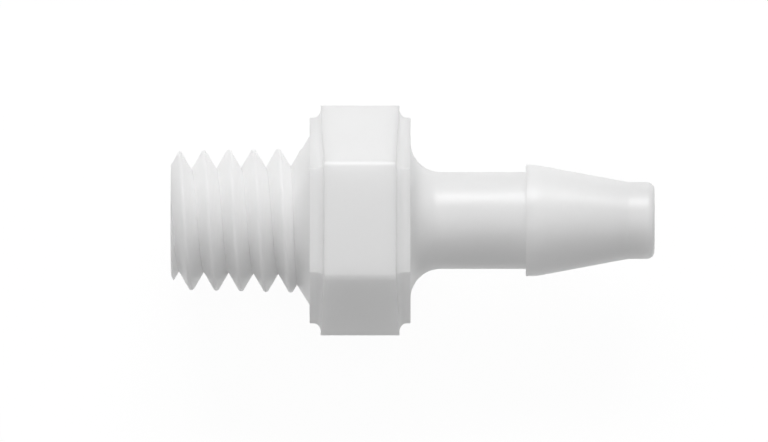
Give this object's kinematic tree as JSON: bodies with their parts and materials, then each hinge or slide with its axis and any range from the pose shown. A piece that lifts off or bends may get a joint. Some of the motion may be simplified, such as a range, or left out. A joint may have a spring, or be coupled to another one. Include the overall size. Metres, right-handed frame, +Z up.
{
  "type": "threaded hose nipple",
  "caption": "Moulded white plastic hose fitting: a tapered fine thread, a hexagon for the spanner, a smooth neck and a hose barb around one flow passage.",
  "frame": {"origin": "on the axis of the flow passage, in the plane of the hexagon's thread-side face", "axes": "+X along the passage towards the hose barb, with the thread at -X; +Z up, square to the hexagon flat that the part lies on; +Y towards a corner of the hexagon"},
  "size_m": [0.0154, 0.0074, 0.0064],
  "materials": {
    "nylon": "as moulded, satin"
  },
  "bodies": {
    "root": {"hose_nipple": "nylon"}
  },
  "joints": []
}
